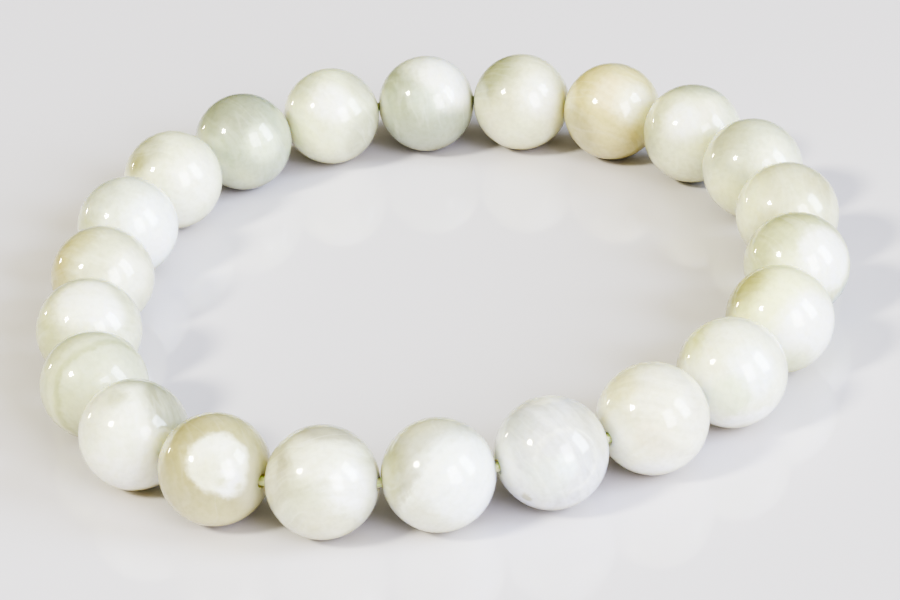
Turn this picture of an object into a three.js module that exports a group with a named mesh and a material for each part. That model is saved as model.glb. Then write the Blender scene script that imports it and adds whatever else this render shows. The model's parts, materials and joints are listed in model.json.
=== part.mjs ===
// Moonstone stretch bracelet: round drilled beads, side by side on one closed elastic cord, lying
// flat. Millimetres, +Z up. The origin is at the middle of the bracelet's footprint, on the surface
// that it lies on. The first bead is at the front left, and the string runs anticlockwise from it
// as seen from above.

import * as THREE from "three";

// Beads
const beadDiameter = 8.0;
const beadPitch = 8.04; // straight from one bead's centre to the next: 0.04 mm of air between them
const holeDiameter = 0.95;
const holeMouthDiameter = 1.05; // the hole's edge is broken by a small countersink
const beadSides = 20; // flats round the hole's axis: an even number puts a flat underneath
const beadBands = 9; // flats from hole to hole: an odd number puts one round the waist

// Elastic cord
const cordDiameter = 0.7;
const cordSides = 8;
const cordBendInset = 0.2; // how far inside each hole the cord starts to turn to the next bead

// The loop as it lies: a circle with three low waves round it. Each wave adds its height to the
// circle's radius at its crest, and at every further crest round the loop.
const loopWaves = [
  { name: "long oval", crests: 2, height: 1.05, crestDegrees: 70 },
  { name: "egg", crests: 3, height: 0.68, crestDegrees: -5 },
  { name: "soft corners", crests: 4, height: 0.5, crestDegrees: 42 },
];
const firstBeadDegrees = -139;

// Colours of the stones, and the colour of each bead in the order of the string
const stoneColours = {
  white: 0xf0efe4,
  clear: 0xe3e8e4,
  green: 0xe4e8d2,
  grey: 0xccd3c8,
  khaki: 0xd5cfaf,
  peach: 0xe9dcc6,
};
const string = [
  "grey", "khaki", "white", "clear", "clear", "white", "white", "green", "clear", "green", "green",
  "green", "peach", "green", "white", "green", "grey", "white", "white", "khaki", "white", "green",
];
const cordColour = 0xb9c995;

const halvings = 50; // steps of each search by halving, far past the last digit that matters

// The value between low and high at which a rising measure reaches its target
function solveRising(measure, target, low, high) {
  for (let step = 0; step < halvings; step += 1) {
    const middle = (low + high) / 2;
    if (measure(middle) < target) {
      low = middle;
    } else {
      high = middle;
    }
  }
  return (low + high) / 2;
}

// The point of the loop at an angle from the origin, at the height of the beads' centres
function loopPoint(angle, circleRadius) {
  const radius = loopWaves.reduce((sum, wave) => {
    const crest = THREE.MathUtils.degToRad(wave.crestDegrees);
    return sum + wave.height * Math.cos(wave.crests * (angle - crest));
  }, circleRadius);
  return new THREE.Vector3(radius * Math.cos(angle), radius * Math.sin(angle), beadDiameter / 2);
}

// The angle at which the next bead lies one pitch along the loop
function nextBeadAngle(angle, circleRadius) {
  const here = loopPoint(angle, circleRadius);
  const distance = (next) => loopPoint(next, circleRadius).distanceTo(here);
  return solveRising(distance, beadPitch, angle, angle + Math.PI / 2);
}

// The angle of every bead, and last the one where the string comes round to the first bead again
function beadAngles(circleRadius) {
  const angles = [THREE.MathUtils.degToRad(firstBeadDegrees)];
  for (const bead of string.keys()) {
    angles.push(nextBeadAngle(angles[bead], circleRadius));
  }
  return angles;
}

// The centres of the beads, on the loop whose circle makes the last bead meet the first
function beadCentres() {
  const evenRadius = beadPitch / 2 / Math.sin(Math.PI / string.length);
  const shortfall = (circleRadius) => {
    const angles = beadAngles(circleRadius);
    return angles[0] + 2 * Math.PI - angles.at(-1);
  };
  const circleRadius = solveRising(shortfall, 0, 0.9 * evenRadius, 1.1 * evenRadius);
  return beadAngles(circleRadius).slice(0, -1).map((angle) => loopPoint(angle, circleRadius));
}

// Half of a bead's section, from its hole's wall round the outside and back. The flats of the
// waist touch the true sphere, so that the bead stands exactly its diameter high.
function beadProfile() {
  const radius = beadDiameter / 2;
  const mouthLatitude = Math.acos(holeMouthDiameter / beadDiameter);
  const band = (2 * mouthLatitude) / beadBands;
  const growth = 1 / Math.cos(Math.PI / beadSides) / Math.cos(band / 2);
  const profile = [];
  for (let edge = 0; edge <= beadBands; edge += 1) {
    const latitude = edge * band - mouthLatitude;
    profile.push(new THREE.Vector2(growth * radius * Math.cos(latitude), radius * Math.sin(latitude)));
  }
  const wall = profile.at(-1).y - (holeMouthDiameter - holeDiameter) / 2;
  profile.push(new THREE.Vector2(holeDiameter / 2, wall));
  profile.push(new THREE.Vector2(holeDiameter / 2, -wall));
  profile.push(profile[0].clone());
  return profile;
}

// The direction of each bead's hole: from the bead before it to the bead after it
function holeDirections(centres) {
  return centres.map((_, bead) => {
    const before = centres.at(bead - 1);
    const after = centres[(bead + 1) % centres.length];
    return after.clone().sub(before).normalize();
  });
}

// Turns a lathe's own axis, Y, along the hole, and keeps its Z up
function alongHole(direction) {
  const up = new THREE.Vector3(0, 0, 1);
  const side = direction.clone().cross(up);
  return new THREE.Quaternion().setFromRotationMatrix(new THREE.Matrix4().makeBasis(side, direction, up));
}

function makeBeads(centres, directions) {
  const geometry = new THREE.LatheGeometry(beadProfile(), beadSides, Math.PI / beadSides);
  return string.map((stone, bead) => {
    const material = new THREE.MeshStandardMaterial({
      color: stoneColours[stone],
      roughness: 0.15,
      metalness: 0,
    });
    const mesh = new THREE.Mesh(geometry, material);
    mesh.name = `bead_${String(bead + 1).padStart(2, "0")}`;
    mesh.position.copy(centres[bead]);
    mesh.quaternion.copy(alongHole(directions[bead]));
    return mesh;
  });
}

// A closed line of straight stretches, sampled at its own corners
class CornerLine extends THREE.Curve {
  constructor(corners) {
    super();
    this.corners = corners;
  }

  getPoint(share, target = new THREE.Vector3()) {
    const count = this.corners.length;
    const place = ((share % 1) + 1) % 1 * count;
    const corner = Math.floor(place);
    return target.lerpVectors(this.corners[corner], this.corners[(corner + 1) % count], place - corner);
  }

  getUtoTmapping(share) {
    return share;
  }
}

// The cord runs straight through every hole and turns between the beads
function makeCord(centres, directions) {
  const reach = beadDiameter / 2 - cordBendInset;
  const corners = centres.flatMap((centre, bead) => [
    centre.clone().addScaledVector(directions[bead], -reach),
    centre.clone().addScaledVector(directions[bead], reach),
  ]);
  const line = new CornerLine(corners);
  const geometry = new THREE.TubeGeometry(line, corners.length, cordDiameter / 2, cordSides, true);
  const material = new THREE.MeshStandardMaterial({ color: cordColour, roughness: 0.5, metalness: 0 });
  const mesh = new THREE.Mesh(geometry, material);
  mesh.name = "elastic_cord";
  return mesh;
}

// Moves the bracelet so that the middle of its footprint is the origin
function centreOnOrigin(bracelet) {
  const box = new THREE.Box3().setFromObject(bracelet, true);
  const middle = box.getCenter(new THREE.Vector3());
  bracelet.position.set(-middle.x, -middle.y, -box.min.z);
}

const centres = beadCentres();
const directions = holeDirections(centres);
const bracelet = new THREE.Group();
bracelet.add(...makeBeads(centres, directions), makeCord(centres, directions));
centreOnOrigin(bracelet);

const group = new THREE.Group();
group.add(bracelet);
export default group;
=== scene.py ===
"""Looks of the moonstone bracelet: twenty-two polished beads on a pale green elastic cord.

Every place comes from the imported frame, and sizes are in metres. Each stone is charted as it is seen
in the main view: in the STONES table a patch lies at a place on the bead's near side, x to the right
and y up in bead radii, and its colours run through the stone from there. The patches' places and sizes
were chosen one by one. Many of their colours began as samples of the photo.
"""

import json
from collections import namedtuple
from math import atan2, cos, pi, radians, sin, sqrt

import bpy
from mathutils import Matrix, Vector


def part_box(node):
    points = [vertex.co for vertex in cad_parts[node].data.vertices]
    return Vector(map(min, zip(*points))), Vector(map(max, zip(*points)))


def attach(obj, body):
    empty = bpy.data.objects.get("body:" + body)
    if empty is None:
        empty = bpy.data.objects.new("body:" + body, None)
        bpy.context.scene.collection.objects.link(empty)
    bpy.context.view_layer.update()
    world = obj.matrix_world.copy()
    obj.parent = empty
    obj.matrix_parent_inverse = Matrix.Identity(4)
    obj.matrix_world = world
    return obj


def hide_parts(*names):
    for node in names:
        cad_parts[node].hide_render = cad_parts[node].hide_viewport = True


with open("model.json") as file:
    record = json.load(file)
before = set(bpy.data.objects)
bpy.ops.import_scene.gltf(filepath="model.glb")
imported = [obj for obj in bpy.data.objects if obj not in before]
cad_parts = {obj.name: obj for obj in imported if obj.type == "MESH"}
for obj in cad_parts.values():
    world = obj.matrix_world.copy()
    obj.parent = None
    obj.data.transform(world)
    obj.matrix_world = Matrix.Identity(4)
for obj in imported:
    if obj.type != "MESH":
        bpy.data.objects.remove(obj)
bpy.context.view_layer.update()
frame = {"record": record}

MM = 0.001

# Sizes that the beads share with their solids
BEAD_RADIUS = 4.0 * MM
HOLE_RADIUS = 0.475 * MM

# Sizes that differ a little from the solids, so that the round cord clears every bead: a wider mouth,
# a cord between the flats and the corners of the solid's octagon, and a bend that starts deeper
MOUTH_RADIUS = 0.58 * MM
CORD_RADIUS = 0.34 * MM
CORD_BEND_INSET = 0.3 * MM

# Fineness of the meshes
BEAD_SIDES = 96
BEAD_BANDS = 60
LIP_BANDS = 5
CORD_SIDES = 20
CORD_BEND_STEPS = 8

# The main view
SENSOR_WIDTH = 36.0
CLIP_START = 0.01
LENS = 131.0
CAMERA_ELEVATION = 30.03
CAMERA_ROLL = -5.3
CAMERA_DISTANCE = 0.2461
CAMERA_TARGET = Vector((0.3, -4.70, 4.0)) * MM
VIEW_TILT = Matrix.Rotation(radians(90 - CAMERA_ELEVATION), 3, "X")
VIEW_TURN = VIEW_TILT @ Matrix.Rotation(radians(CAMERA_ROLL), 3, "Z")
CAMERA_PLACE = CAMERA_TARGET + VIEW_TURN @ Vector((0, 0, CAMERA_DISTANCE))

# The light of the room: the direction that is brightest, the strength there, and how fast it fades
BRIGHT_SIDE = Vector((0.4, -0.65, 0.65)).normalized()
ROOM_BRIGHT = 1.15
ROOM_FALLOFF = 3.0
ROOM_COLOUR = (1.0, 0.95, 0.6)

# The lights' distances from the bracelet, and their colours
LAMP_DISTANCE = 2.4
WINDOW_DISTANCE = 2.7
LAMP_WARM = (1.0, 0.99, 0.73)
BACK_LAMP_WARM = (1.0, 0.9, 0.6)
NEAR_WINDOW_COOL = (0.86, 0.88, 1.0)
FAR_WINDOW_BLUE = (0.69, 0.82, 1.0)

FLOOR_HALF = 3.0
FLOOR_COLOUR = "dad6e7"
FLOOR_ROUGHNESS = 0.07

Patch = namedtuple("Patch", "at radius blur tint strength inner", defaults=(0.0,))
Stone = namedtuple("Stone", "body cloud clouds silk turn patches")


def srgb(code):
    """The linear colour of a six-digit hexadecimal code."""
    shares = [int(code[i : i + 2], 16) / 255 for i in (0, 2, 4)]
    return [s / 12.92 if s <= 0.04045 else ((s + 0.055) / 1.055) ** 2.4 for s in shares]


class Nodes:
    """Adds nodes to a tree. An input is given as another node's output, or as a value."""

    def __init__(self, owner):
        owner.use_nodes = True
        self.tree = owner.node_tree

    def plug(self, socket, value):
        if isinstance(value, bpy.types.NodeSocket):
            self.tree.links.new(value, socket)
        elif socket.type == "RGBA":
            socket.default_value = (*value, 1)
        else:
            socket.default_value = value

    def add(self, kind, **inputs):
        node = self.tree.nodes.new("ShaderNode" + kind)
        for name, value in inputs.items():
            self.plug(node.inputs[name.replace("_", " ")], value)
        return node

    def dress(self, shader, **inputs):
        """Gives a shader that is already in the tree its inputs."""
        for name, value in inputs.items():
            self.plug(self.tree.nodes[shader].inputs[name.replace("_", " ")], value)

    def vector(self, operation, first, second, output="Vector"):
        node = self.add("VectorMath")
        node.operation = operation
        self.plug(node.inputs[0], first)
        self.plug(node.inputs["Scale" if operation == "SCALE" else 1], second)
        return node.outputs[output]

    def math(self, operation, first, second=0.0):
        node = self.add("Math")
        node.operation = operation
        self.plug(node.inputs[0], first)
        self.plug(node.inputs[1], second)
        return node.outputs[0]

    def shade(self, share, colour, tint):
        """Colour multiplied by a tint, as far as the share says."""
        return self.mix(share, colour, srgb(tint), "MULTIPLY")

    def noise(self, place, scale, detail, distortion=0.0, output="Fac"):
        node = self.add("TexNoise", Vector=place, Scale=scale, Detail=detail, Distortion=distortion)
        return node.outputs[output]

    def ramp(self, value, low, high, to_low=0.0, to_high=1.0):
        """An eased step: to_low where value is below low, and to_high where it is above high."""
        node = self.add("MapRange", Value=value, From_Min=low, From_Max=high)
        self.plug(node.inputs["To Min"], to_low)
        self.plug(node.inputs["To Max"], to_high)
        node.interpolation_type = "SMOOTHSTEP"
        return node.outputs["Result"]

    def mix(self, share, first, second, blend="MIX"):
        node = self.add("Mix")
        node.data_type = "RGBA"
        node.blend_type = blend
        self.plug(node.inputs[0], share)
        self.plug(node.inputs[6], first)
        self.plug(node.inputs[7], second)
        return node.outputs[2]


# --- Camera, light and floor ---------------------------------------------------------------------


def add_camera():
    data = bpy.data.cameras.new("camera")
    data.lens = LENS
    data.sensor_width = SENSOR_WIDTH
    data.clip_start = CLIP_START
    camera = bpy.data.objects.new("camera", data)
    camera.matrix_world = Matrix.Translation(CAMERA_PLACE) @ VIEW_TURN.to_4x4()
    bpy.context.scene.collection.objects.link(camera)
    bpy.context.scene.camera = camera


def add_area_light(name, toward, distance, size, power, colour):
    """An area light that shines on the bracelet from a direction in the row frame. Its size is a disk's
    width, or a rectangle's two sides."""
    data = bpy.data.lights.new(name, "AREA")
    if isinstance(size, tuple):
        data.shape = "RECTANGLE"
        data.size, data.size_y = size
    else:
        data.shape = "DISK"
        data.size = size
    data.energy = power
    data.color = colour
    light = bpy.data.objects.new(name, data)
    away = Vector(toward).normalized()
    light.location = CAMERA_TARGET + away * distance
    light.rotation_euler = away.to_track_quat("Z", "Y").to_euler()
    light.visible_camera = False
    bpy.context.scene.collection.objects.link(light)


def add_lights():
    """A warm lamp at the front left, a small one low behind, and two windows at the right."""
    lamp = (-0.651, -0.341, 0.677)
    back_lamp = (-0.822, 0.554, 0.13)
    near_window = (0.519, -0.751, 0.409)
    far_window = (0.87, -0.251, 0.424)
    add_area_light("lamp", lamp, LAMP_DISTANCE, 0.45, 44.0, LAMP_WARM)
    add_area_light("back_lamp", back_lamp, LAMP_DISTANCE, 0.21, 6.3, BACK_LAMP_WARM)
    add_area_light("near_window", near_window, WINDOW_DISTANCE, (1.02, 1.68), 57.0, NEAR_WINDOW_COOL)
    add_area_light("far_window", far_window, WINDOW_DISTANCE, (0.96, 1.74), 72.0, FAR_WINDOW_BLUE)


def keep_glare_off(floor):
    """Hands the floor's light to twins that it doesn't mirror, so that from behind it shows no hard
    white shapes of the windows. The beads still mirror the lights themselves."""
    twins_reach = bpy.data.collections.new("floor_alone")
    twins_reach.objects.link(floor)
    lights_reach = bpy.data.collections.new("all_but_floor")
    lights_reach.objects.link(floor)
    lights_reach.collection_objects[0].light_linking.link_state = "EXCLUDE"
    for light in [owner for owner in bpy.data.objects if owner.type == "LIGHT"]:
        twin = light.copy()
        twin.name = light.name + "_on_floor"
        twin.visible_glossy = False
        twin.light_linking.receiver_collection = twins_reach
        light.light_linking.receiver_collection = lights_reach
        bpy.context.scene.collection.objects.link(twin)


def set_world():
    """A warm white room, bright above and in front of the bracelet, and dark behind it."""
    world = bpy.data.worlds.new("room")
    nodes = Nodes(world)
    direction = nodes.add("TexCoord").outputs["Generated"]
    across = nodes.vector("DOT_PRODUCT", direction, BRIGHT_SIDE, "Value")
    share = nodes.add("MapRange", Value=across, From_Min=-1).outputs["Result"]
    strength = nodes.math("MULTIPLY", nodes.math("POWER", share, ROOM_FALLOFF), ROOM_BRIGHT)
    nodes.dress("Background", Color=ROOM_COLOUR, Strength=strength)
    bpy.context.scene.world = world
    bpy.context.scene.view_settings.view_transform = "AgX"
    bpy.context.scene.view_settings.look = "AgX - Very High Contrast"


def add_floor():
    """The pale polished table that the bracelet lies on."""
    mesh = bpy.data.meshes.new("floor")
    half = FLOOR_HALF
    corners = [(-half, -half, 0), (half, -half, 0), (half, half, 0), (-half, half, 0)]
    mesh.from_pydata(corners, [], [(0, 1, 2, 3)])
    floor = bpy.data.objects.new("floor", mesh)
    material = bpy.data.materials.new("glossy_table")
    Nodes(material).dress(
        "Principled BSDF", Base_Color=srgb(FLOOR_COLOUR), Roughness=FLOOR_ROUGHNESS
    )
    mesh.materials.append(material)
    bpy.context.scene.collection.objects.link(floor)
    return floor


# --- Materials -----------------------------------------------------------------------------------

SILK_SHADE = "b0ad98"
VEIL_TINT = "fbfdfb"
# Painted shade: a darker, warmer tint laid over each bead's underside
PAINTED_UNDERSIDE_SHADE = "d8cb74"
# Painted light: a paler tint round the drilled ends, against the shade between beads
PAINTED_END_LIGHT = "fbfaec"
CORD_DARK = "cfe39c"
CORD_LIGHT = "e6f2c2"

# How far noise pushes the edges of patches, in bead radii, and how far it bends the silky layers
EDGE_SWAY = 0.16
EDGE_FRAY = 0.13
LAYER_SWAY = 0.3

# The silky layers: their tilt, and their thickness along and across
LAYER_TILT = 0.35
LAYER_SIZES = (0.16, 1.1, 1.1)

# Where each stone looks into the noise, for each step of its seed
SEED_STEP = Vector((3.7, 1.9, 5.3))

STONE_IOR = 1.53
STRANDS_PER_METRE = (900, 900, 9000)


def chart_turn(centre):
    """The turn from a bead's chart, whose z points at the main view's camera, to the row frame."""
    toward = (CAMERA_PLACE - centre).normalized()
    side = (VIEW_TURN @ Vector((0, 1, 0))).cross(toward).normalized()
    return Matrix((side, toward.cross(side), toward)).transposed()


def paint_patch(nodes, colour, place, patch):
    """Lays a patch, or the ring of one where it has an inner radius, over the colour so far."""
    right, up = patch.at
    toward = sqrt(max(0.0, 1 - right**2 - up**2))
    distance = nodes.vector("DISTANCE", place, Vector((right, up, toward)).normalized(), "Value")
    half = patch.blur / 2
    mask = nodes.ramp(distance, patch.radius - half, patch.radius + half, patch.strength, 0.0)
    if patch.inner:
        outside = nodes.ramp(distance, patch.inner - half, patch.inner + half)
        mask = nodes.math("MULTIPLY", mask, outside)
    return nodes.mix(mask, colour, srgb(patch.tint))


def moonstone(name, stone, seed, turn, direction):
    """Polished moonstone: a milky body with clouds, soft patches, silky layers, thin veils and a fine
    grain, under a clear gloss. Painted light makes the stone paler round its drilled ends, against the
    shade between beads, and painted shade makes it darker and warmer underneath, standing in for light
    that has crossed the stone. turn is the bead's chart turn, and direction is its hole's."""
    material = bpy.data.materials.new(name)
    nodes = Nodes(material)
    from_centre = nodes.vector("SCALE", nodes.add("TexCoord").outputs["Object"], 1 / BEAD_RADIUS)
    charted = nodes.add("VectorRotate", Vector=from_centre)
    charted.rotation_type = "EULER_XYZ"
    charted.inputs["Rotation"].default_value = turn.to_euler()
    charted.invert = True
    place = charted.outputs[0]
    own = nodes.vector("ADD", place, seed * SEED_STEP)
    middle = (0.5, 0.5, 0.5)
    sway = nodes.vector("SUBTRACT", nodes.noise(own, 1.6, 1.0, output="Color"), middle)
    fray = nodes.vector("SUBTRACT", nodes.noise(own, 9.0, 4.0, output="Color"), middle)

    clouds = nodes.ramp(nodes.noise(own, 1.7, 4.0, 0.5), 0.34, 0.68, 0.0, stone.clouds)
    colour = nodes.mix(clouds, srgb(stone.body), srgb(stone.cloud))
    uneven = nodes.vector("ADD", place, nodes.vector("SCALE", sway, EDGE_SWAY))
    uneven = nodes.vector("ADD", uneven, nodes.vector("SCALE", fray, EDGE_FRAY))
    for patch in stone.patches:
        colour = paint_patch(nodes, colour, uneven, patch)

    bent = nodes.vector("ADD", own, nodes.vector("SCALE", sway, LAYER_SWAY))
    lie = (0, LAYER_TILT, radians(stone.turn))
    layers = nodes.add("Mapping", Vector=bent, Rotation=lie, Scale=LAYER_SIZES)
    layers.vector_type = "TEXTURE"
    silk = nodes.noise(layers.outputs[0], 1.0, 3.0, 0.1)
    colour = nodes.shade(nodes.ramp(silk, 0.28, 0.6, 0.8 * stone.silk, 0.0), colour, SILK_SHADE)
    fold = nodes.noise(layers.outputs[0], 0.6, 2.0)
    ridge = nodes.math("ABSOLUTE", nodes.math("SUBTRACT", fold, 0.52))
    colour = nodes.mix(nodes.ramp(ridge, 0.0, 0.07, 0.55 * stone.silk, 0.0), colour, srgb(VEIL_TINT))
    grain = nodes.noise(own, 9.0, 5.0)
    colour = nodes.shade(nodes.ramp(grain, 0.34, 0.6, 0.13, 0.0), colour, SILK_SHADE)

    # Painted light: paler round the drilled ends, against the shade between neighbouring beads.
    end = nodes.math("ABSOLUTE", nodes.vector("DOT_PRODUCT", from_centre, direction, "Value"))
    colour = nodes.mix(nodes.ramp(end, 0.75, 1.0, 0.0, 0.3), colour, srgb(PAINTED_END_LIGHT))
    # Painted shade: darker and warmer underneath, standing in for light that has crossed the stone.
    below = nodes.vector("DOT_PRODUCT", from_centre, (0, 0, -1), "Value")
    colour = nodes.shade(nodes.ramp(below, 0.5, 1.0, 0.0, 1.0), colour, PAINTED_UNDERSIDE_SHADE)

    relief = nodes.add("Bump", Strength=0.12, Distance=0.1 * MM, Height=silk)
    ripple = nodes.add("Bump", Strength=1.0, Distance=0.012 * MM, Height=nodes.noise(own, 2.5, 2.0))
    nodes.dress(
        "Principled BSDF",
        Base_Color=colour,
        Normal=relief.outputs[0],
        Roughness=nodes.ramp(silk, 0.3, 0.7, 0.48, 0.36),
        IOR=STONE_IOR,
        Subsurface_Weight=0.9,
        Subsurface_Radius=(1.0, 0.9, 0.5),
        Subsurface_Scale=4.0 * MM,
        Coat_Weight=1.0,
        Coat_Roughness=0.02,
        Coat_IOR=STONE_IOR,
        Coat_Normal=ripple.outputs[0],
    )
    return material


def elastic(name):
    """Pale green elastic cord: clear rubber with fine strands along it."""
    material = bpy.data.materials.new(name)
    nodes = Nodes(material)
    place = nodes.add("TexCoord").outputs["Object"]
    strands = nodes.noise(nodes.vector("MULTIPLY", place, STRANDS_PER_METRE), 1.0, 3.0)
    relief = nodes.add("Bump", Strength=0.4, Distance=0.03 * MM, Height=strands)
    nodes.dress(
        "Principled BSDF",
        Base_Color=nodes.mix(nodes.ramp(strands, 0.35, 0.65), srgb(CORD_DARK), srgb(CORD_LIGHT)),
        Normal=relief.outputs[0],
        Roughness=0.35,
        Subsurface_Weight=0.9,
        Subsurface_Radius=(0.7, 1.0, 0.5),
        Subsurface_Scale=1.0 * MM,
    )
    return material


# --- Shapes --------------------------------------------------------------------------------------


def swept_mesh(name, rings):
    """A closed smooth mesh through rings of points, the last ring joined to the first."""
    count, sides = len(rings), len(rings[0])
    faces = []
    for i in range(count):
        here, after = i * sides, (i + 1) % count * sides
        for j in range(sides):
            k = (j + 1) % sides
            faces.append((here + j, here + k, after + k, after + j))
    mesh = bpy.data.meshes.new(name)
    mesh.from_pydata([p for ring in rings for p in ring], [], faces)
    mesh.polygons.foreach_set("use_smooth", [True] * len(faces))
    return mesh


def bead_profile():
    """(distance from the hole's axis, place along it) round half a bead's section: the sphere, and a
    rounded lip that runs tangent from the sphere into the hole at each end."""
    lip = MOUTH_RADIUS - HOLE_RADIUS
    lip_along = sqrt((BEAD_RADIUS - lip) ** 2 - MOUTH_RADIUS**2)
    latitude = atan2(lip_along, MOUTH_RADIUS)
    sphere = []
    for i in range(BEAD_BANDS + 1):
        angle = latitude * (2 * i / BEAD_BANDS - 1)
        sphere.append((BEAD_RADIUS * cos(angle), BEAD_RADIUS * sin(angle)))
    upper_lip = []
    for i in range(1, LIP_BANDS + 1):
        angle = latitude + (pi - latitude) * i / LIP_BANDS
        upper_lip.append((MOUTH_RADIUS + lip * cos(angle), lip_along + lip * sin(angle)))
    lower_lip = [(across, -along) for across, along in reversed(upper_lip)]
    return sphere + upper_lip + lower_lip


def make_bead(node, centre, direction, material):
    """A drilled bead with its hole along direction, in place of its solid."""
    side = direction.cross(Vector((0, 0, 1)))
    other = direction.cross(side)
    rings = []
    for across, along in bead_profile():
        ring = []
        for i in range(BEAD_SIDES):
            angle = 2 * pi * i / BEAD_SIDES
            ring.append(direction * along + (side * cos(angle) + other * sin(angle)) * across)
        rings.append(ring)
    mesh = swept_mesh(node + "_stone", rings)
    mesh.materials.append(material)
    bead = bpy.data.objects.new(node + "_stone", mesh)
    bead.location = centre
    bpy.context.scene.collection.objects.link(bead)
    return bead


def cord_line(centres, directions):
    """Points along the cord's middle: straight through each hole, and an even bend in each gap."""
    reach = BEAD_RADIUS - CORD_BEND_INSET
    points = []
    for i, (centre, direction) in enumerate(zip(centres, directions)):
        j = (i + 1) % len(centres)
        start = centre + direction * reach
        end = centres[j] - directions[j] * reach
        corner = (start + direction * CORD_BEND_INSET + end - directions[j] * CORD_BEND_INSET) / 2
        points += [centre, (centre + start) / 2]
        for step in range(CORD_BEND_STEPS + 1):
            t = step / CORD_BEND_STEPS
            points.append(start * (1 - t) ** 2 + corner * 2 * t * (1 - t) + end * t**2)
        points.append((end + centres[j]) / 2)
    return points


def make_cord(centres, directions, material):
    """The closed loop of round cord through all the beads, in place of its solid."""
    points = cord_line(centres, directions)
    up = Vector((0, 0, 1))
    rings = []
    for i, point in enumerate(points):
        along = (points[(i + 1) % len(points)] - points[i - 1]).normalized()
        side = along.cross(up)
        ring = []
        for j in range(CORD_SIDES):
            angle = 2 * pi * j / CORD_SIDES
            ring.append(point + (up * cos(angle) + side * sin(angle)) * CORD_RADIUS)
        rings.append(ring)
    mesh = swept_mesh("elastic_cord_loop", rings)
    mesh.materials.append(material)
    cord = bpy.data.objects.new("elastic_cord_loop", mesh)
    bpy.context.scene.collection.objects.link(cord)
    return cord


# --- The stones, in the order of the string --------------------------------------------------------

WHITE = "fdfefa"
# Partly a stone's blue-white, partly painted sheen where the windows' light falls
PAINTED_FROST_SHEEN = "f3faff"
PEARL = "f3f4e6"
IVORY = "eeedd6"
LEMON = "f4f8c9"
CREAM = "e2e1c3"
SAGE = "c9cdb2"
GREY_GREEN = "a5aa93"
MOSS = "a3a57c"
STRAW = "cfcb98"
MUSTARD = "b3a96a"
TEAL = "a9b9b4"
UMBER = "a09060"

# Besides the stones' own colours, some patches paint light and shade as they fell in the main view; the
# comments at these patches say which.
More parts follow.
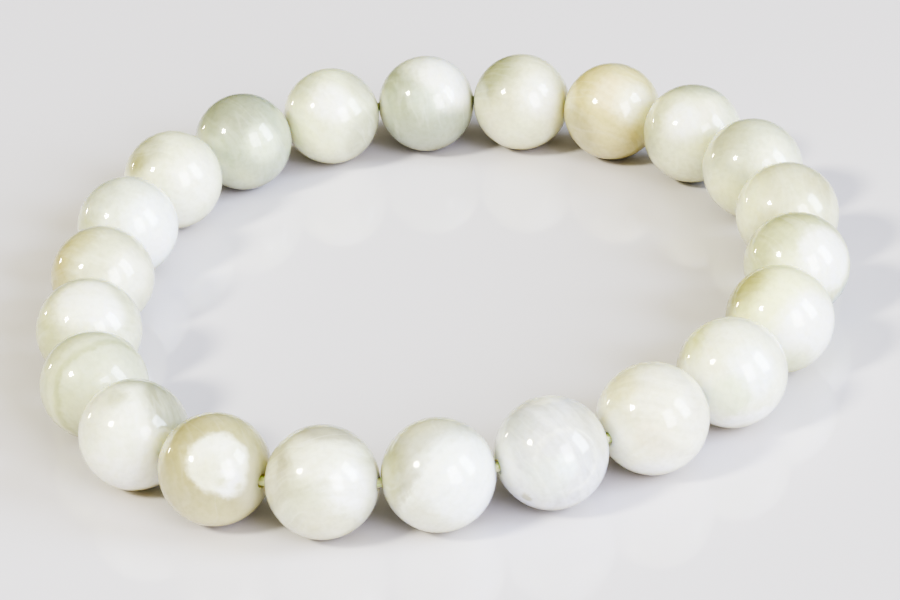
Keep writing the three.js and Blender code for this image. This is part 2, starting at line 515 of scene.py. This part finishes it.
STONES = {
    "bead_01": Stone("fdfff5", "eff4e1", 0.8, 0.2, 8, [
        Patch((-0.75, 0.3), 0.5, 0.5, "dfe1d6", 0.6),
        Patch((0.85, 0.42), 0.85, 0.4, "a4a592", 1.0),
        Patch((0.86, -0.4), 0.34, 0.4, "c9cab0", 0.6),
        Patch((0.55, -0.22), 0.26, 0.2, "dbdfcc", 0.8),
        Patch((0.55, -0.22), 0.3, 0.09, WHITE, 0.6, 0.27),
        Patch((-0.33, 0.66), 0.22, 0.3, MOSS, 0.55),
        Patch((0.0, 1.0), 0.45, 0.45, GREY_GREEN, 0.9),
        # Partly the stone's pale colour, partly painted light low on the bead, where light comes up
        # through the stone.
        Patch((0.1, -0.85), 0.55, 0.5, WHITE, 1.0),
    ]),
    "bead_02": Stone("afaa82", "b7b38c", 0.5, 0.1, 15, [
        # Partly the stone's straw colour, partly painted glow low on the bead, where light comes
        # through the stone.
        Patch((0.0, -1.0), 0.75, 0.7, STRAW, 0.9),
        Patch((0.0, 0.95), 0.35, 0.4, "bab594", 0.8),
        # Painted light: a pale patch at the drilled end, against the shade between beads.
        Patch((1.0, -0.1), 0.4, 0.4, "efe8bc", 0.9),
        # Partly the stone's white core, partly painted adularescent glow facing the main view.
        Patch((0.04, 0.12), 0.54, 0.16, "f1f2e2", 1.0),
        # Partly the stone's white core, partly painted adularescent glow facing the main view.
        Patch((0.1, 0.2), 0.36, 0.35, WHITE, 0.5),
        Patch((-0.05, 0.0), 0.26, 0.4, "d6d8bb", 0.7),
        # Partly the core's white, partly painted sheen where the windows' light falls.
        Patch((0.28, -0.25), 0.24, 0.2, WHITE, 1.0),
        Patch((0.36, 0.28), 0.14, 0.14, "dadbc2", 0.6),
        Patch((0.12, -0.22), 0.1, 0.14, "cfd1b0", 0.8),
        Patch((0.4, -0.32), 0.07, 0.1, "d0d1b0", 0.8),
    ]),
    "bead_03": Stone("d5d9c6", "d2d5c0", 0.6, 0.3, 100, [
        # Partly the stone's olive edge, partly painted shade on the side away from the windows.
        Patch((-0.9, 0.2), 0.6, 0.5, "c0beac", 0.9),
        Patch((0.1, 0.62), 0.7, 0.3, "e9eadc", 0.9),
        Patch((0.1, 0.98), 0.62, 0.25, "b7b5a6", 0.95),
        Patch((0.05, 1.0), 0.36, 0.2, "cfcdc3", 0.6),
        # Partly the stone's milky colour, partly painted sheen where the windows' light falls.
        Patch((0.5, -0.12), 0.42, 0.4, WHITE, 1.0),
        Patch((0.05, -0.85), 0.55, 0.5, "d6d5b6", 0.8),
        # Painted light: a pale patch at the drilled end, against the shade between beads.
        Patch((0.98, -0.05), 0.35, 0.4, "fdfdf2", 0.9),
    ]),
    "bead_04": Stone("c6c8c3", "bcbdae", 0.4, 0.2, -42, [
        # Partly the stone's olive edge, partly painted shade on the side away from the windows.
        Patch((-0.95, 0.0), 0.56, 0.5, "a2a37f", 1.0),
        Patch((-0.2, 0.95), 0.5, 0.4, "cfcfbd", 0.8),
        Patch((0.65, -0.67), 1.3, 0.07, "eff4ef", 1.0),
        # Partly the stone's blue-white half, partly painted sheen where the windows' light falls.
        Patch((0.55, -0.1), 0.85, 0.4, PAINTED_FROST_SHEEN, 1.0),
        Patch((-0.35, -0.78), 0.42, 0.4, "d9dbcb", 0.8),
        Patch((0.1, -0.95), 0.4, 0.4, "dcdecb", 0.8),
    ]),
    "bead_05": Stone("d0d2de", "dddee6", 0.7, 0.3, 40, [
        Patch((0.75, 0.45), 0.5, 0.5, "cbc9bf", 0.8),
        Patch((-0.62, 0.35), 0.4, 0.4, "c3c9d3", 0.7),
        Patch((-0.1, 0.95), 0.25, 0.25, WHITE, 0.8),
        # Partly the stone's blue-white, partly painted sheen where the windows' light falls.
        Patch((0.25, -0.25), 0.2, 0.2, "e8f4ff", 1.0),
        Patch((0.3, -0.15), 0.6, 0.12, WHITE, 0.4, 0.54),
        Patch((-0.1, -0.5), 0.4, 0.4, "dce6e6", 0.7),
        Patch((-0.9, -0.2), 0.4, 0.4, "e0e0de", 0.8),
        Patch((-0.42, -0.78), 0.1, 0.08, "a8a58a", 0.8),
    ]),
    "bead_06": Stone("eceade", IVORY, 0.7, 0.24, 85, [
        Patch((-0.7, 0.5), 0.55, 0.5, "dedcbc", 0.9),
        Patch((-0.45, -0.05), 0.3, 0.3, "dcdcc8", 0.8),
        Patch((0.0, -0.4), 0.35, 0.3, "e5e0cc", 0.8),
        # Partly the stone's pale colour, partly painted light low on the bead, where light comes up
        # through the stone.
        Patch((-0.55, -0.75), 0.55, 0.5, "fdfddc", 0.9),
        # Partly the stone's pale colour, partly painted light low on the bead, where light comes up
        # through the stone.
        Patch((0.1, -0.95), 0.4, 0.4, WHITE, 0.8),
        Patch((0.9, 0.1), 0.35, 0.4, "dbd7c7", 0.5),
        # Painted light: a pale patch at the drilled end, against the shade between beads.
        Patch((-0.97, -0.2), 0.3, 0.4, WHITE, 0.8),
    ]),
    "bead_07": Stone("eceedb", PEARL, 0.5, 0.2, 15, [
        Patch((-0.8, 0.55), 0.5, 0.4, "d7dcaa", 0.9),
        # Partly the stone's olive edge, partly painted shade on the side away from the windows.
        Patch((-1.0, 0.15), 0.46, 0.35, "a7a374", 0.95),
        # Partly the stone's milky colour, partly painted sheen where the windows' light falls.
        Patch((0.35, 0.0), 0.45, 0.4, PAINTED_FROST_SHEEN, 1.0),
        Patch((-0.05, -0.45), 0.4, 0.3, "d9e5c6", 0.8),
        Patch((0.3, -0.95), 0.6, 0.2, WHITE, 1.0),
        Patch((0.98, 0.1), 0.3, 0.3, "dedecb", 0.9),
    ]),
    "bead_08": Stone("eff4c6", LEMON, 0.4, 0.12, 70, [
        Patch((-0.68, 0.62), 0.52, 0.6, "b2b27e", 0.9),
        # Partly the stone's olive edge, partly painted shade on the side away from the windows.
        Patch((-0.97, 0.2), 0.44, 0.4, "99975e", 0.9),
        Patch((0.0, 1.0), 0.35, 0.35, "dde2b0", 0.9),
        # Partly the stone's milky colour, partly painted sheen where the windows' light falls.
        Patch((0.65, -0.3), 0.8, 0.4, WHITE, 1.0),
        Patch((0.15, -0.87), 0.5, 0.5, "ccd3a4", 0.8),
    ]),
    "bead_09": Stone("c9cea8", SAGE, 0.4, 0.2, 30, [
        Patch((-0.1, 0.95), 0.4, 0.35, "b9bc95", 0.8),
        Patch((-0.1, -0.2), 0.45, 0.5, "eef3d0", 0.9),
        # Partly the stone's milky colour, partly painted sheen where the windows' light falls.
        Patch((0.6, 0.15), 0.62, 0.3, WHITE, 1.0),
        Patch((0.8, -0.6), 0.36, 0.25, TEAL, 1.0),
    ]),
    "bead_10": Stone("cecfb2", "d6d6bd", 0.5, 0.14, 0, [
        Patch((-0.9, 0.2), 0.6, 0.5, "f0f4d2", 0.9),
        Patch((0.6, 0.6), 0.4, 0.4, "bfbc9c", 0.8),
        # Partly the stone's milky colour, partly painted sheen where the windows' light falls.
        Patch((0.4, -0.02), 0.3, 0.35, "dcddbc", 0.8),
    ]),
    "bead_11": Stone("cbcfbb", "d3d8c1", 0.6, 0.12, 80, [
        Patch((-0.5, 0.6), 0.5, 0.5, "b9bba4", 0.8),
        Patch((-0.5, -0.7), 0.6, 0.5, "f2f5cf", 0.8),
        # Partly the stone's milky colour, partly painted sheen where the windows' light falls.
        Patch((0.5, 0.1), 0.5, 0.5, "eceed8", 0.9),
    ]),
    "bead_12": Stone("d8dbc1", "e3e5cb", 0.5, 0.14, 20, [
        Patch((-0.95, 0.0), 0.5, 0.4, "b2b597", 0.9),
        Patch((0.1, 0.98), 0.5, 0.4, "b3b8a2", 0.9),
        Patch((-0.2, 0.25), 0.4, 0.35, WHITE, 0.9),
        Patch((0.4, 0.4), 0.3, 0.3, "eeeada", 0.8),
        Patch((0.0, -0.7), 0.55, 0.5, "f5f9df", 0.9),
        Patch((0.85, 0.1), 0.4, 0.5, "e4e8d2", 0.8),
    ]),
    "bead_13": Stone("d0c892", "d9cf9b", 0.4, 0.14, 60, [
        Patch((0.0, 0.4), 0.4, 0.4, "eadcb2", 0.8),
        Patch((-0.75, -0.4), 0.5, 0.4, "b4ad86", 0.9),
        Patch((0.1, 1.0), 0.4, 0.35, "c9c7ab", 0.8),
        # Partly the stone's milky colour, partly painted sheen where the windows' light falls.
        Patch((0.5, 0.15), 0.42, 0.45, "f4f0d8", 0.9),
        Patch((0.75, -0.68), 0.36, 0.35, UMBER, 0.6),
    ]),
    "bead_14": Stone("d6d6bd", CREAM, 0.5, 0.14, 70, [
        Patch((-0.68, 0.6), 0.66, 0.55, "a0a487", 0.9),
        # Partly the stone's milky colour, partly painted sheen where the windows' light falls.
        Patch((0.4, 0.05), 0.48, 0.5, "fafaf0", 0.9),
        Patch((0.1, -0.8), 0.6, 0.5, "eef1cf", 0.8),
    ]),
    "bead_15": Stone("a2aa98", "adb3a0", 0.5, 0.2, 10, [
        Patch((0.1, 0.9), 0.6, 0.5, "e3e6dc", 0.9),
        # Partly the stone's white top, partly painted sheen where the windows' light falls.
        Patch((0.5, 0.5), 0.62, 0.45, WHITE, 1.0),
        Patch((0.0, 0.05), 0.3, 0.4, "c6d2c6", 0.8),
    ]),
    "bead_16": Stone("dfe3c6", "ecf2d4", 0.5, 0.18, 50, [
        Patch((-0.6, 0.65), 0.4, 0.4, "c6ccb9", 0.8),
        Patch((0.0, 0.3), 0.4, 0.4, WHITE, 0.9),
        Patch((-0.5, -0.6), 0.5, 0.5, LEMON, 0.7),
        Patch((0.8, -0.4), 0.62, 0.5, "afb197", 0.9),
        Patch((0.6, 0.65), 0.4, 0.4, "bcbda5", 0.8),
    ]),
    "bead_17": Stone("a3ab99", "b0baa2", 0.5, 0.1, 30, [
        Patch((-0.2, 0.7), 0.62, 0.5, "989d8d", 0.9),
        Patch((0.4, -0.05), 0.38, 0.4, "d2ddc4", 0.9),
        Patch((-0.2, -0.85), 0.55, 0.5, "c6cdb0", 0.9),
    ]),
    "bead_18": Stone("dddfc6", "e6ead0", 0.5, 0.18, 70, [
        Patch((-0.6, 0.55), 0.45, 0.4, "b2b4a0", 0.8),
        Patch((-0.75, 0.3), 0.22, 0.4, "9c9a66", 0.75),
        # Partly the stone's milky colour, partly painted sheen where the windows' light falls.
        Patch((0.45, 0.0), 0.55, 0.45, PEARL, 1.0),
        Patch((0.0, -0.8), 0.5, 0.4, "f6f8e6", 0.8),
    ]),
    "bead_19": Stone("dde3d6", "ecede2", 0.4, 0.12, 40, [
        Patch((-0.6, 0.6), 0.5, 0.4, "c5cabe", 0.8),
        Patch((-0.85, -0.1), 0.35, 0.4, "c2c6a8", 0.8),
        # Partly the stone's blue-white, partly painted sheen where the windows' light falls.
        Patch((0.65, -0.05), 0.75, 0.4, PAINTED_FROST_SHEEN, 1.0),
        # Partly the stone's blue-white, partly painted sheen where the windows' light falls.
        Patch((0.6, -0.35), 0.3, 0.25, "fbffff", 1.0),
        Patch((0.93, -0.6), 0.28, 0.3, TEAL, 0.8),
    ]),
    "bead_20": Stone("d0d1b8", "d9dabf", 0.5, 0.18, 60, [
        # Partly the stone's mustard edge, partly painted shade on the side away from the windows.
        Patch((-0.95, 0.2), 0.55, 0.6, MUSTARD, 0.8),
        Patch((-0.5, 0.7), 0.4, 0.4, "bdb98c", 0.7),
        # Partly the stone's milky colour, partly painted sheen where the windows' light falls.
        Patch((0.55, 0.1), 0.45, 0.4, "eeede0", 1.0),
        Patch((0.1, -0.6), 0.5, 0.5, PEARL, 0.8),
    ]),
    "bead_21": Stone("cfd2ba", "dadcc2", 0.5, 0.2, 80, [
        Patch((-0.9, -0.1), 0.45, 0.4, "c5c9a0", 0.8),
        Patch((-0.05, 0.55), 0.57, 0.35, "fbfcee", 1.0),
        # Partly the stone's milky colour, partly painted sheen where the windows' light falls.
        Patch((0.35, 0.35), 0.35, 0.3, WHITE, 0.9),
        # Partly the stone's milky colour, partly painted sheen where the windows' light falls.
        Patch((0.5, -0.35), 0.3, 0.3, PEARL, 0.7),
    ]),
    "bead_22": Stone("c9ceb1", "c2c7ac", 0.5, 0.08, 40, [
        Patch((-0.6, -0.55), 0.4, 0.3, "c8cd97", 0.8),
        Patch((0.39, -0.29), 1.32, 0.1, "d9ddc4", 0.6, 1.18),
        Patch((0.39, -0.29), 1.16, 0.1, "b3b994", 0.7, 1.04),
        Patch((0.39, -0.29), 1.04, 0.1, "cbd0b8", 0.8),
        Patch((0.45, 0.1), 0.3, 0.35, "d9dcc6", 0.6),
        Patch((0.3, -0.75), 0.4, 0.4, "e9ecd8", 0.8),
    ]),
}


def main():
    add_camera()
    add_lights()
    set_world()
    keep_glare_off(add_floor())
    slots = {part["node"]: part["material_slot"] for part in frame["record"]["subparts"]}
    names = sorted(node for node in slots if node.startswith("bead_"))
    centres = [sum(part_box(name), Vector()) / 2 for name in names]
    directions = []
    for i in range(len(centres)):
        directions.append((centres[(i + 1) % len(centres)] - centres[i - 1]).normalized())
    for i, name in enumerate(names):
        material = moonstone(
            name + "_moonstone", STONES[name], i + 1, chart_turn(centres[i]), directions[i]
        )
        bead = make_bead(name, centres[i], directions[i], material)
        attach(bead, "root")
        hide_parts(name)
    cord = make_cord(centres, directions, elastic("pale_green_elastic"))
    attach(cord, "root")
    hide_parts("elastic_cord")


main()
